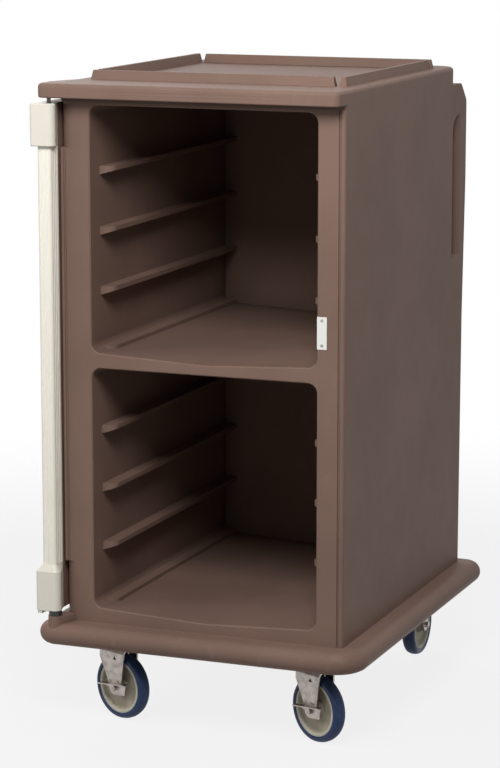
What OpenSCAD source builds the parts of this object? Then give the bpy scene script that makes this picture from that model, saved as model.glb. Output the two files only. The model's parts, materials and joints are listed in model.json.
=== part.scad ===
// Enclosed meal tray cart.
// A moulded cabinet stands on a bumper base with two swivel and two rigid casters.
// Two bays hold trays on moulded slides, and one door swings right round to lie along the left side.
// Front is -Y, up is +Z, and the origin is on the floor under the middle of the cabinet.

/* [Cabinet] */
// Width of the cabinet across the front
cab_w = 660; // [620:5:720]
// Depth of the cabinet from the front face to the lower rear wall
cab_d = 826; // [786:4:886]
// Thickness of the left wall, on the hinge side
left_wall = 72; // [66:1:84]
// Thickness of the right wall, which takes the latch strike
right_wall = 62; // [58:1:74]
// Corner radius of the opening
open_r = 22; // [12:1:30]
// Bevel round the lip of the opening
lip = 2.5; // [1:0.25:5]
// Thickness of the sill under the lower bay
sill_h = 33; // [30:1:60]
// Thickness of the divider between the bays, at its ends
divider_h = 34; // [28:1:50]
// Depth of the shallow V in each bay floor
floor_dip = 11; // [6:1:14]
// Thickness of the rear wall
rear_wall = 45; // [35:1:60]
// Roof skin above the upper bay
roof_skin = 7; // [5:1:12]
// Radius of the upright rear corners
rear_r = 8; // [4:1:20]
// Radius of the beaded front corners
bead_r = 7; // [4:0.5:8]
// Distance of the bead groove from the corner
bead_groove_in = 12; // [11:0.5:16]
// Radius of the bead groove
bead_groove_r = 3; // [2:0.25:4]
// Radius of the front corner where the hinge blocks turn
hinge_relief_r = 30; // [29:1:34]

/* [Trays] */
// Height from one tray level to the next
tray_pitch = 132.5; // [120:0.5:150]
// Tray levels in each bay
levels = 4; // [3:1:5]
// Height of the lowest slide above the bay floor
slide_lift = 8; // [4:1:14]
// Free height above the topmost tray level
head_room = 4; // [2:1:20]
// How far a slide stands out from the wall
slide_w = 30; // [22:1:36]
// Thickness of a slide at the wall
slide_root = 19; // [14:1:24]
// Thickness of a slide at its inner edge
slide_tip = 10; // [6:1:13]
// Setback of the slides behind the front face
slide_setback = 52; // [40:1:70]
// Radius of the front end of a slide
slide_nose_r = 24; // [12:1:29]

/* [Grips] */
// Length of the grip recess in each rear corner
grip_len = 332; // [240:2:360]
// Distance of the front edge of the recess from the lower rear wall
grip_in = 84; // [76:1:96]
// Width of the flat floor of the recess
grip_floor_w = 28; // [24:1:34]
// Depth of the recess, which is also the radius of the grip behind it
grip_depth = 36; // [28:1:40]
// Radius of the upper front corner of the recess
grip_corner_r = 42; // [20:1:50]
// Height over which the foot of the recess slopes out
grip_slope = 20; // [10:1:30]
// Drop from the shell top to the top of the recess
grip_drop = 72; // [66:1:110]
// How far the lower rear wall leans out
rear_lean = 5; // [0:0.5:10]
// How far the rear wall stands out behind the grips
grip_bulge = 20; // [10:1:26]
// Height below the grips at which the rear wall starts to swell
grip_fade = 146; // [60:2:200]
// Height above the foot of the grips at which the swelling is full
grip_rise = 174; // [80:2:200]

/* [Deck] */
// Thickness of the top deck
deck_t = 41; // [34:1:50]
// How far the deck nose overhangs the front face
nose_out = 45; // [42:1:55]
// Height of the nose band
nose_h = 32; // [26:1:33]
// Distance of the rear edge of the deck from the lower rear wall
deck_rear_in = 44; // [34:1:95]
// Radius of the front corners of the deck in plan
deck_r = 16; // [12:1:30]
// Radius of the rear corners of the deck in plan
deck_rear_r = 50; // [12:1:60]
// Rounding of the deck's top edge
deck_edge = 9; // [3:1:11]
// Rounding of the bottom edge of the nose
deck_foot_edge = 4; // [2:0.5:6]
// How far the sloping shoulder behind the deck reaches forward and down
shoulder_run = 42; // [30:1:56]
// Rounding of both ends of the shoulder
shoulder_r = 22; // [8:1:30]
// How far the hinge ear stands out from the left wall
ear_out = 34; // [30:1:38]
// Length of the ear along the side, behind the front face
ear_back = 22; // [15:1:40]
// Length over which the ear tapers back to the wall
ear_taper = 84; // [20:1:120]
// Height of the rim rails on the deck
rail_h = 20; // [12:1:25]
// Width of a rail at its foot
rail_foot = 17; // [14:1:24]
// Width of a rail at its top
rail_crest = 9; // [6:1:13]
// Distance of the front rail behind the front face
rim_front_in = 96; // [10:1:110]
// Distance of the side rails from the side walls
rim_side_in = 33; // [12:1:60]
// Distance of the rear rail from the rear edge of the deck
rim_rear_in = 90; // [20:1:140]
// Gap left open between two rails at each corner of the rim
rail_gap = 10; // [4:1:40]
// Depth of the well inside the rim
well_depth = 1; // [0.5:0.25:2]
// Border between the rails and the well
well_border = 6; // [3:1:20]

/* [Base] */
// How far the bumper stands out all round
bumper_out = 53; // [51:1:60]
// Height of the bumper base
base_h = 52; // [50:0.5:60]
// Radius of the round nose of the bumper
bumper_nose_r = 25.5; // [18:0.5:25.5]
// Corner radius of the bumper in plan
bumper_r = 44; // [36:1:80]
// Corner radius of the bumper at the front right corner
bumper_front_r = 76; // [36:1:90]
// Height of the hinge boss above the base
boss_h = 16; // [8:0.5:24]
// Radius of the hinge boss
boss_r = 16; // [14:0.5:18]
// How far the foot of the hinge boss flares out
boss_flare = 10; // [4:0.5:12]

/* [Door] */
// Thickness of the door
door_t = 33; // [31:0.5:36]
// Hinge line to the left of the left wall
hinge_out = 8; // [7:0.5:9]
// Gap between the shut door and the front face
door_front_gap = 3; // [2:0.25:4]
// Gap between the folded door and the left wall
door_side_gap = 4; // [3:0.25:5]
// Gap under the door, above the base
door_foot_gap = 26; // [20:1:30]
// Gap over the door, under the deck nose
door_head_gap = 12; // [8:1:16]
// How far the shut door stops short of the right wall
door_end_gap = 6; // [2:1:12]
// Width of the hinge stile beyond the hinge line
stile_w = 34; // [32:1:36]
// How far the hinge stile reaches in front of the hinge line
stile_nose = 4; // [3:0.5:5]
// Length of the flange that fixes a hinge block to the door
flange_len = 32; // [24:1:44]
// Thickness of the flange, let flush into the door
flange_t = 3; // [2:0.5:4]
// Rounding of the hinge stile
stile_r = 8; // [5:0.5:9]
// Wall of the hinge stile channel
stile_wall = 4; // [3:0.5:5]
// Radius of the flutes along the stile
flute_r = 1.5; // [1:0.25:2]
// Border left round the moulded field of the door
field_border = 62; // [48:1:90]
// Depth of the moulded field
field_depth = 4; // [2:0.5:6]
// Corner radius of the moulded field
field_r = 36; // [20:1:60]

/* [Hinges] */
// Radius of the hinge pins
pin_r = 4.5; // [4:0.25:5]
// Radial running clearance of every pin and axle
run_clear = 0.05; // [0.02:0.01:0.08]
// Wall of the hinge bushes
bush_wall = 3; // [2:0.5:4]
// Height of the upper hinge block
upper_block_h = 93; // [80:1:110]
// Height of the lower hinge block
lower_block_h = 105; // [90:1:120]
// Height of the sloping shoulder of the lower hinge block
block_slope = 15; // [6:1:20]
// Radius of the round barrel of a hinge block
block_r = 14; // [12:0.5:15]
// How far a hinge block reaches in front of the hinge line
block_nose = 16; // [14:0.5:17]
// Height of the drip lip under the lower hinge block
block_lip = 6; // [2:0.5:8]
// Thickness of the washer under the lower hinge block
washer_t = 10; // [5:0.5:12]
// Length of a pin held in the deck or the base
pin_grip = 24; // [18:1:28]
// Length of a pin inside its hinge block
pin_reach = 60; // [40:1:70]

/* [Latch] */
// Height of the latch above the floor
latch_z = 920; // [912:1:945]
// Height of the latch strike
strike_h = 70; // [68:1:90]
// Width of the latch strike
strike_w = 22; // [20:1:26]
// Depth of the latch strike
strike_d = 24; // [20:1:30]
// Distance from the latch spindle to the edge of the opening
spindle_in = 24; // [22:1:28]
// Radius of the latch spindle
spindle_r = 6; // [5:0.25:7]
// Radius of the latch cup
cup_r = 40; // [36:1:44]
// Depth of the latch cup
cup_depth = 20; // [18:0.5:21]
// Sheet thickness of the latch cup
cup_wall = 2; // [1.5:0.25:3]
// Width of the latch grip
grip_bar_w = 13; // [10:0.5:16]
// Thickness of the latch cam
cam_t = 4; // [3:0.5:5]
// Width of the latch cam
cam_w = 14; // [12:0.5:16]
// How far the cam tip reaches into the strike
cam_bite = 10; // [6:0.5:12]
// Clearance round the cam in the strike slot
cam_clear = 1.5; // [1:0.25:2]
// How far behind the front face the shut cam lies
cam_behind = 7; // [6:0.5:7.5]

/* [Casters] */
// Diameter of the wheels
wheel_d = 150; // [144:0.1:155]
// Tread width of the wheels
wheel_w = 32; // [28:1:36]
// Gap between the top of the tyre and the fork crown
tyre_gap = 10.6; // [10:0.1:20]
// Radial thickness of the tyre
tyre_t = 14; // [10:0.5:18]
// Length of the wheel hub
hub_len = 38; // [37:0.5:46]
// Outer radius of the wheel hub
hub_r = 17; // [15:0.5:20]
// Thickness of the wheel web
web_t = 9; // [6:0.5:14]
// Radius of the wheel axles
axle_r = 6; // [5:0.25:7]
// Gap between the hub and each fork leg
hub_gap = 0.6; // [0.4:0.1:1.5]
// Thickness of the fork plate
fork_t = 4; // [3:0.5:5]
// Width of a fork leg at the top
leg_top = 76; // [60:1:84]
// Radius of a fork leg round the axle
leg_r = 16; // [14:0.5:20]
// Outer radius of the bend between a fork leg and the crown
fork_bend = 15; // [10:0.5:18]
// How far the swivel fork legs lean back from the axle to the kingpin
leg_rake = 13; // [0:1:16]
// Trail of the swivel casters
trail = 20; // [14:1:34]
// Angle that the front left caster stands at, from the X axis
swivel_left = -22; // [-60:1:60]
// Angle that the front right caster stands at, from the X axis
swivel_right = -28; // [-60:1:60]
// Length of a caster plate along the cart
plate_len = 114; // [104:1:124]
// Width of a caster plate
plate_w = 102; // [92:1:110]
// Thickness of a caster plate
plate_t = 5; // [4:0.5:6]
// Bolt spacing across the plate
bolt_span_x = 76; // [70:1:78]
// Bolt spacing along the plate
bolt_span_y = 90; // [84:1:92]
// Radius of the caster bolts
bolt_r = 4.75; // [4:0.25:5]
// Depth of the caster bolts in the base
bolt_depth = 24; // [15:1:30]
// Radius of the kingpin
king_r = 7; // [6:0.25:8]
// Radius of the ball race
race_r = 29; // [26:1:32]
// Height of the ball race
race_h = 13; // [11:0.5:15]
// Distance of the caster axes from the side walls
caster_in_x = 94; // [88:1:110]
// Distance of the front kingpins behind the front face
caster_in_front = 71; // [66:1:110]
// Distance of the rear casters in front of the rear wall
caster_in_rear = 24; // [24:1:120]
// Length of the brake pedal
pedal_len = 88; // [80:1:100]
// Width of the brake pedal
pedal_w = 15; // [12:0.5:20]
// Height of the brake pedal above the axle
pedal_z = 8; // [8:0.5:12]
// Tilt of the brake pedal when the brake is off
pedal_tilt = 6.5; // [4:0.5:10]
// Thickness of the brake pedal
pedal_t = 2.5; // [2:0.5:3.5]

/* [Hidden] */
$fn = 64;
eps = 0.01;
seat = 0.3;                       // gap between faces that turn over each other
left = -cab_w / 2;
right = cab_w / 2;
front = -cab_d / 2;
back = cab_d / 2;
base_bottom = wheel_d + tyre_gap + fork_t + race_h + plate_t;
base_top = base_bottom + base_h;
bay_h = slide_lift + levels * tray_pitch + head_room;
lower_floor = base_top + sill_h;
upper_floor = lower_floor + bay_h + divider_h;
bay_floors = [lower_floor, upper_floor];
shell_top = upper_floor + bay_h + roof_skin;
deck_top = shell_top + deck_t;
nose_bottom = deck_top - nose_h;
open_left = left + left_wall;
open_right = right - right_wall;
open_mid = (open_left + open_right) / 2;
open_w = open_right - open_left;
bay_back = back - rear_wall;
grip_top = shell_top - grip_drop;
grip_bottom = grip_top - grip_len;
rear_out = back + grip_bulge;              // rear wall behind the grips
// Line of the rear wall in side view, from the base up
rear_line = [[back, base_top], [back + rear_lean, grip_bottom - grip_fade],
    [rear_out, grip_bottom + grip_rise], [rear_out, shell_top]];

rim_w = cab_w - 2 * rim_side_in;
rim_front = front + rim_front_in;
deck_rear = back - deck_rear_in;
rim_rear = deck_rear - rim_rear_in;
rim_d = rim_rear - rim_front;
well_in = 2 * (rail_foot + well_border);   // how much smaller the well is than the rim

hinge_fwd = door_t + door_front_gap + door_side_gap - hinge_out;
hinge_x = left - hinge_out;
hinge_y = front - hinge_fwd;
door_out = hinge_out - door_side_gap;      // outer face of the door, from the hinge line
door_in = door_out - door_t;               // inner face of the door, from the hinge line
door_end = cab_w + hinge_out - door_end_gap;
door_bottom = base_top + door_foot_gap;
door_top = nose_bottom - door_head_gap;
boss_top = base_top + boss_h;
block_bottom = boss_top + washer_t + seat;
lower_block_top = block_bottom + lower_block_h;
upper_block_bottom = door_top - upper_block_h;
boss_sunk = 20;                            // how deep the boss starts inside the base
boss_web_in = 1;                           // setback of the web's top and sides inside the boss
block_proud = 12;                          // how far a hinge block stands proud of the inner face
block_corner_r = 8;                        // radius of a hinge block's inner corners
washer_in = 1.5;                           // setback of the washer inside the boss
block_edge = 2;                            // edge break of a hinge block
// Centre of the cabinet's relieved corner, seen from the hinge line
relief_from_hinge = [left + hinge_relief_r - hinge_x, front + hinge_relief_r - hinge_y];
ear_set = 0.2;                             // setback of the ear and the deck's foot from the nose band
lip_w = 14;                                // width of the drip lip
flute_pitch = (door_t - 2 * stile_r) / 2;  // spacing of the flutes along the stile
rib_gap = 4;                               // height from a hinge block to the square corner beside the stile
screw_r = 2.5;
screw_head = 2.2;
screw_len = 18;
strike_screw_in = 8;
strike_screw_head = 2;
strike_screw_head_r = 3.5;
bush_r = pin_r + bush_wall;

spindle_y = cab_w / 2 + open_right - spindle_in + hinge_out;   // along the door, from the hinge line
cam_face = -(hinge_fwd + cam_behind);      // near face of the cam, from the hinge line
cam_len = spindle_in + cam_bite;
cup_floor = door_out - cup_depth;
spindle_bush_r = spindle_r + bush_wall;

wheel_r = wheel_d / 2;
fork_gap = hub_len + 2 * hub_gap;
race_top = base_bottom - plate_t;
crown_top = race_top - race_h;
crown_bottom = crown_top - fork_t;
core_r = wheel_r - tyre_t;
rim_t = 6;
axle_half = fork_gap / 2 + fork_t;
nut_h = 7;
nut_r = 7.5;
king_head = 5;
king_head_r = 12;
fork_bend_in = fork_bend - fork_t;         // inner radius of the bends of a fork
king_under = king_head_r + fork_bend_in - fork_gap / 2;   // reach of the kingpin's head under the bends
king_gap = seat + fork_bend_in - sqrt(pow(fork_bend_in, 2) - pow(max(0, king_under), 2));
race_edge = 4;                             // bevel of both edges of the ball race
bolt_head_r = 8;
bolt_head_h = 6;
plate_corner_r = 8;
core_edge = 2;                             // bevel of the hub and setback of the rim
core_slope = 6;                            // run of the slope between the web and the rim
tread_crown = 1.5;                         // how far the middle of the tread stands out
tread_half = 4;                            // half the width of the flat middle of the tread
tyre_shoulder = 8;                         // rounding of the tyre's shoulders
front_y = front + caster_in_front;
rear_y = back - caster_in_rear;
side_x = cab_w / 2 - caster_in_x;
cheek_r = 17;                              // radius of the brake cheek round the axle
crown_sunk = 1;                            // how far a rear fork's crown sinks into its plate
leg_knee = 26;                             // height of the upright top part of a fork leg
peep_r = 6;                                // size of the three-cornered hole in a fork leg
peep_shift = 4;                            // how far the hole lies in front of the middle of the leg

mocha = [0.40, 0.32, 0.28];
cream = [0.87, 0.86, 0.80];
steel = [0.72, 0.70, 0.68];
dark = [0.08, 0.08, 0.08];
blue = [0.08, 0.15, 0.28];
putty = [0.72, 0.69, 0.61];
white = [0.95, 0.95, 0.95];

// ---- shared shapes ----

// Rectangle with true round corners, centred on the origin.
module rounded_plan(w, d, r) {
    square([w - 2 * r, d], center = true);
    square([w, d - 2 * r], center = true);
    for (x = [-1, 1], y = [-1, 1])
        translate([x * (w / 2 - r), y * (d / 2 - r)]) circle(r);
}

// What rounding takes off a corner that points to +X, +Y.
module corner_waste(r) {
    difference() {
        translate([-r, -r]) square(r + 1);
        translate([-r, -r]) circle(r);
    }
}

// Stadium along Y, centred on the origin.
module stadium(len, w) {
    square([w, len - w], center = true);
    for (y = [-1, 1]) translate([0, y * (len - w) / 2]) circle(w / 2);
}

// Tube along Z from z = 0.
module tube(h, r_out, r_in) {
    difference() {
        cylinder(h = h, r = r_out);
        translate([0, 0, -1]) cylinder(h = h + 2, r = r_in);
    }
}

// Lays an XY outline up in the XZ plane, running from y_from back to y_to.
module upright(y_from, y_to) {
    translate([0, y_to, 0]) rotate([90, 0, 0]) linear_extrude(y_to - y_from) children();
}

// Points of an arc about a centre, from one angle to another.
function arc(centre, r, from, to, steps) =
    [for (i = [0 : steps]) let (a = from + (to - from) * i / steps) centre + r * [cos(a), sin(a)]];

// Thin slice of an outline at a height, for lofting with hull().
module slice(z) {
    translate([0, 0, z]) linear_extrude(eps) children();
}

// ---- cabinet ----

// Plan of the cabinet, with a bead at each front corner.
module cabinet_plan() {
    difference() {
        translate([left, front]) square([cab_w, rear_out - front]);
        for (side = [0, 1]) mirror([side, 0, 0]) {
            translate([right, front]) mirror([0, 1, 0]) corner_waste(bead_r);
            translate([right - bead_groove_in, front]) circle(bead_groove_r);
        }
    }
}

// Side view of the shell: the rear wall swells behind the grips and ends in a sloping shoulder.
module shell_profile() {
    start = shoulder_run + shoulder_r * tan(22.5);         // where the shoulder leaves the wall
    polygon(concat(
        [[front - 1, base_top]], [for (i = [0 : len(rear_line) - 2]) rear_line[i]],
        arc([rear_out - shoulder_r, shell_top - start], shoulder_r, 0, 45, 4),
        arc([rear_out - start, shell_top - shoulder_r], shoulder_r, 45, 90, 4),
        [[front - 1, shell_top]]
    ));
}

// What rounding takes off the right rear corner, stretch by stretch along the leaning rear wall.
module rear_corner_waste() {
    for (i = [1 : len(rear_line) - 1]) {
        foot = rear_line[i - 1];
        run = rear_line[i] - foot;
        translate([right, foot[0], foot[1]]) rotate([-atan2(run[0], run[1]), 0, 0])
            linear_extrude(norm(run)) corner_waste(rear_r);
    }
}

// Front view of one bay: rounded, with a shallow V in the floor.
module bay_outline(grow) {
    translate([open_mid, bay_h / 2])
        rounded_plan(open_w + 2 * grow, bay_h + 2 * grow, open_r + grow);
    polygon([
        [open_left + open_r, eps - grow], [open_mid, -floor_dip - grow],
        [open_right - open_r, eps - grow]
    ]);
}

module bay_cavity() {
    upright(front - 1, bay_back) bay_outline(0);
    hull() {
        upright(front - 1, front - 1 + eps) bay_outline(lip + 1);
        upright(front + lip, front + lip + eps) bay_outline(0);
    }
}

// Plan of the right grip recess: square front wall, flat floor and a round grip behind it.
module grip_plan() {
    grip_mid = grip_floor_w + grip_depth;
    difference() {
        translate([-grip_depth, 0]) square([grip_depth + 1, grip_mid]);
        translate([-grip_depth, grip_mid]) circle(grip_depth);
    }
}

// Side view of the recess, in length and height from its lower front corner.
module grip_side() {
    grip_w = grip_floor_w + grip_depth + 1;
    difference() {
        square([grip_w, grip_len]);
        translate([0, grip_len]) mirror([1, 0, 0]) corner_waste(grip_corner_r);
    }
}

module grip_recess() {
    translate([right, back - grip_in, grip_bottom]) intersection() {
        linear_extrude(grip_len) grip_plan();
        translate([-grip_depth - 1, 0, 0]) rotate([90, 0, 90])
            linear_extrude(grip_depth + 2) grip_side();
        upright(-1, grip_floor_w + grip_depth + 1) polygon([
            [-grip_depth, grip_slope], [0, 0], [1, 0], [1, grip_len], [-grip_depth, grip_len]
        ]);
    }
}

module strike_place() {
    translate([open_right, front, latch_z - strike_h / 2]) children();
}

module cabinet_shell() {
    color(mocha) difference() {
        intersection() {
            translate([0, 0, base_top]) linear_extrude(shell_top - base_top) cabinet_plan();
            translate([left - 1, 0, 0]) rotate([90, 0, 90]) linear_extrude(cab_w + 2) shell_profile();
        }
        for (z = bay_floors) translate([0, 0, z]) bay_cavity();
        for (side = [0, 1]) mirror([side, 0, 0]) {
            grip_recess();
            rear_corner_waste();
        }
        for (span = [[base_top - 1, lower_block_top + rib_gap],
                     [upper_block_bottom - rib_gap, shell_top + 1]])
            translate([left, front, span[0]]) linear_extrude(span[1] - span[0])
                rotate(180) corner_waste(hinge_relief_r);
        strike_place() {
            translate([-strike_w, -1, 0]) cube([2 * strike_w, strike_d + 1, strike_h]);
            strike_screw_places() cylinder(h = strike_d + screw_len, r = screw_r);
        }
    }
}

// One slide on the left wall with its top at z = 0.
module tray_slide() {
    run = bay_back - front - slide_setback;
    intersection() {
        upright(front + slide_setback, bay_back) polygon([
            [open_left, 0], [open_left + slide_w, 0],
            [open_left + slide_w, -slide_tip], [open_left, -slide_root]
        ]);
        translate([open_left, front + slide_setback, -slide_root - 1]) linear_extrude(slide_root + 2) {
            translate([0, slide_nose_r]) square([slide_w, run - slide_nose_r]);
            square([slide_w - slide_nose_r, run]);
            translate([slide_w - slide_nose_r, slide_nose_r]) circle(slide_nose_r);
        }
    }
}

module slide_ladder() {
    for (z = bay_floors) translate([0, 0, z]) intersection() {
        for (n = [0 : levels - 1]) translate([0, 0, slide_lift + n * tray_pitch]) tray_slide();
        upright(front, bay_back) bay_outline(0);
    }
}

module left_tray_slides() { color(mocha) slide_ladder(); }

module right_tray_slides() {
    color(mocha) translate([2 * open_mid, 0, 0]) mirror([1, 0, 0]) slide_ladder();
}

// ---- top deck ----

// Round corner of the nose band at p, of radius r in plan, with its top and bottom edges rounded.
module deck_corner(p, r) {
    translate([p[0], p[1], 0]) rotate_extrude($fn = 32) polygon(concat(
        [[0, nose_bottom]],
        arc([r - deck_foot_edge, nose_bottom + deck_foot_edge], deck_foot_edge, -90, 0, 3),
        arc([r - deck_edge, deck_top - deck_edge], deck_edge, 0, 90, 4),
        [[0, deck_top]]
    ));
}

// Nose band of the deck over its whole plan.
module deck_band() {
    hull() for (side = [-1, 1]) {
        deck_corner([side * (right - deck_r), front - nose_out + deck_r], deck_r);
        deck_corner([side * (right - deck_rear_r), deck_rear - deck_rear_r], deck_rear_r);
    }
}

// Hinge ear: round at the front corner, tapering back into the side of the deck.
module hinge_ear() {
    ear_r = ear_out / 2 + 1;
    root_r = deck_edge + 1;
    translate([0, 0, -ear_set]) hull() {
        deck_corner([left - ear_out + ear_r, front - nose_out + ear_r + ear_set], ear_r);
        deck_corner([left - ear_out / 2, front + ear_back - ear_r / 2], ear_out / 2);
        deck_corner([left + root_r + ear_set, front + ear_back + ear_taper - root_r], root_r);
        deck_corner([left + ear_r, front - nose_out + root_r + ear_set], root_r);
    }
}

// Foot of the deck on the shell, under the nose band.
module deck_foot() {
    translate([0, 0, shell_top]) linear_extrude(deck_top - deck_edge - shell_top - deck_foot_edge)
        hull() for (side = [-1, 1]) {
            translate([side * (right - deck_r), front + deck_r])
                circle(deck_r - ear_set, $fn = 32);
            translate([side * (right - deck_rear_r), deck_rear - deck_rear_r])
                circle(deck_rear_r - ear_set, $fn = 32);
        }
}

module top_deck() {
    color(mocha) difference() {
        union() {
            deck_band();
            hinge_ear();
            deck_foot();
        }
        translate([0, (rim_front + rim_rear) / 2, deck_top - well_depth])
            linear_extrude(well_depth + 1)
                rounded_plan(rim_w - well_in, rim_d - well_in, deck_edge);
        translate([hinge_x, hinge_y, nose_bottom - 1]) cylinder(h = pin_grip + 1, r = pin_r);
    }
}

// A rail of a given length along X, standing on z = 0.
module rim_rail(len) {
    batter = (rail_foot - rail_crest) / 2;
    hull() {
        translate([-len / 2, -rail_foot / 2, 0]) cube([len, rail_foot, eps]);
        translate([-len / 2 + batter, -rail_crest / 2, rail_h - eps])
            cube([len - 2 * batter, rail_crest, eps]);
    }
}

module deck_rails() {
    // Each rail starts flush with one corner of the rim and stops short of the next rail.
    short = rail_foot + rail_gap;
    color(mocha) translate([0, (rim_front + rim_rear) / 2, deck_top]) for (turn = [0, 180])
        rotate(turn) {
            translate([-short / 2, (rail_foot - rim_d) / 2, 0]) rim_rail(rim_w - short);
            translate([(rim_w - rail_foot) / 2, -short / 2, 0]) rotate(90) rim_rail(rim_d - short);
        }
}

// ---- base ----

// One round corner of the bumper, of radius r in plan; x and y are -1 or 1.
module bumper_corner(x, y, r) {
    translate([x * (cab_w / 2 + bumper_out - r), y * (cab_d / 2 + bumper_out - r), base_bottom])
        rotate_extrude($fn = 48) polygon(concat(
            [[0, 0]],
            arc([r - bumper_nose_r, bumper_nose_r], bumper_nose_r, -90, 90, 10),
            [[0, 2 * bumper_nose_r]]
        ));
}

module plate_bolt_places() {
    for (x = [-1, 1], y = [-1, 1])
        translate([x * bolt_span_x / 2, y * bolt_span_y / 2, 0]) children();
}

module caster_places() {
    for (x = [-side_x, side_x], y = [front_y, rear_y]) translate([x, y, 0]) children();
}

// Round boss under the lower hinge, with a flared foot and a web back to the cabinet.
module hinge_boss() {
    translate([hinge_x, hinge_y, base_top - boss_sunk]) {
        cylinder(h = boss_sunk + boss_h, r = boss_r);
        translate([0, 1, 0]) hull() {
            translate([0, boss_flare, 0]) cylinder(h = eps, r = boss_r + boss_flare, $fn = 32);
            translate([0, 0, boss_sunk + boss_h / 2]) cylinder(h = eps, r = boss_r - 2, $fn = 32);
        }
        difference() {
            rotate(atan2(relief_from_hinge[1], relief_from_hinge[0]))
                translate([0, boss_web_in - boss_r, 0]) cube([
                    norm(relief_from_hinge), 2 * (boss_r - boss_web_in),
                    boss_sunk + boss_h - boss_web_in
                ]);
            // The web stops short of the relieved corner of the cabinet.
            translate([relief_from_hinge[0], relief_from_hinge[1], -1])
                cylinder(h = boss_sunk + boss_h + 2, r = hinge_relief_r + seat);
        }
    }
}

module base_bumper() {
    color(mocha) difference() {
        union() {
            hull() {
                for (x = [-1, 1]) bumper_corner(x, 1, bumper_r);
                bumper_corner(-1, -1, bumper_r);
                bumper_corner(1, -1, bumper_front_r);
                translate([left, front, base_top - eps]) cube([cab_w, cab_d, eps]);
            }
            hinge_boss();
        }
        translate([hinge_x, hinge_y, boss_top - pin_grip]) cylinder(h = pin_grip + 1, r = pin_r);
        caster_places() plate_bolt_places()
            translate([0, 0, base_bottom - 1]) cylinder(h = bolt_depth + 1, r = bolt_r);
    }
}

module caster_bolts() {
    color(steel) caster_places() plate_bolt_places() {
        translate([0, 0, base_bottom - plate_t - bolt_head_h])
            cylinder(h = bolt_head_h, r = bolt_head_r, $fn = 6);
        translate([0, 0, base_bottom - plate_t]) cylinder(h = plate_t + bolt_depth, r = bolt_r);
    }
}

// ---- hinges ----

module on_hinge() { translate([hinge_x, hinge_y, 0]) children(); }

module upper_hinge_pin() {
    color(dark) on_hinge() translate([0, 0, door_top - pin_reach])
        cylinder(h = pin_reach + door_head_gap + pin_grip, r = pin_r);
}

module lower_hinge_pin() {
    color(dark) on_hinge() translate([0, 0, boss_top - pin_grip])
        cylinder(h = pin_grip + washer_t + seat + pin_reach, r = pin_r);
}

module hinge_washer() {
    color(dark) on_hinge() translate([0, 0, boss_top]) tube(washer_t, boss_r - washer_in, pin_r);
}

module hinge_bush() {
    tube(pin_reach, bush_r, pin_r + run_clear);
}

module upper_hinge_bush() {
    color(dark) on_hinge() translate([0, 0, door_top - pin_reach]) hinge_bush();
}

module lower_hinge_bush() {
    color(dark) on_hinge() translate([0, 0, block_bottom]) hinge_bush();
}

// Plan of a hinge block about the hinge line, drawn in by inset.
module block_plan(inset) {
    inner = door_in - block_proud + block_corner_r;
    hull() {
        circle(block_r - inset, $fn = 32);
        for (y = [block_corner_r - block_nose, block_corner_r / 4])
            translate([inner, y]) circle(block_corner_r - inset, $fn = 24);
        translate([door_in, stile_w - eps]) square([door_t, eps]);
    }
}

// The flange of a hinge block of height h, clear of both ends of the block.
module block_flange(h) {
    translate([door_in, stile_w - 1, block_slope]) cube([flange_t, flange_len + 1, h - 2 * block_slope]);
}

// Lays children along each screw of a hinge block of height h, head outwards.
module block_screw_places(h) {
    for (z = [h / 3, 2 * h / 3])
        translate([door_in, stile_w + flange_len / 2, z]) rotate([0, 90, 0]) children();
}

module screw_hole() { cylinder(h = screw_len, r = screw_r); }

// A hinge block of height h from z = 0. The pin enters at z = 0, and the other end
// meets the stile with a shoulder of a given height that slopes in to it.
module hinge_block(h, slope) {
    difference() {
        union() {
            hull() {
                slice(0) block_plan(block_edge);
                slice(block_edge) block_plan(0);
                slice(h - slope) block_plan(0);
                slice(h - eps) {
                    if (slope > block_edge) stile_outline();
                    else block_plan(block_edge);
                }
            }
            block_flange(h);
        }
        translate([0, 0, -1]) cylinder(h = pin_reach + 1, r = bush_r);
        block_screw_places(h) screw_hole();
    }
}

// Places the fittings of both hinge blocks, given as children for the upper and the lower one.
module on_blocks() {
    translate([0, 0, upper_block_bottom]) children(0);
    translate([0, 0, block_bottom]) children(1);
}

module upper_hinge_block() {
    color(cream) on_hinge() translate([0, 0, door_top]) mirror([0, 0, 1])
        hinge_block(upper_block_h, block_edge);
}

module lower_hinge_block() {
    color(cream) on_hinge() translate([0, 0, block_bottom]) {
        hinge_block(lower_block_h, block_slope);
        translate([0, 0, -block_lip]) linear_extrude(block_lip + block_edge) intersection() {
            block_plan(block_edge);
            translate([door_in - block_proud, -block_nose]) square([lip_w, block_nose + stile_w / 2]);
        }
    }
}

// Pan-head screw along Z, with the underside of its head at z = 0.
module pan_screw() {
    translate([0, 0, -screw_head]) cylinder(h = screw_head, r = 2 * screw_r);
    screw_hole();
}

// Screws through the flange of each block into the door.
module hinge_block_screws() {
    color(steel) on_hinge() on_blocks() {
        block_screw_places(upper_block_h) pan_screw();
        block_screw_places(lower_block_h) pan_screw();
    }
}

// ---- door ----

module stile_outline() {
    translate([door_in, stile_r - stile_nose]) square([door_t, stile_w + stile_nose - stile_r]);
    translate([door_in + stile_r, -stile_nose]) square([door_t - 2 * stile_r, stile_r + 1]);
    for (x = [door_in + stile_r, door_out - stile_r])
        translate([x, stile_r - stile_nose]) circle(stile_r);
}

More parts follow.
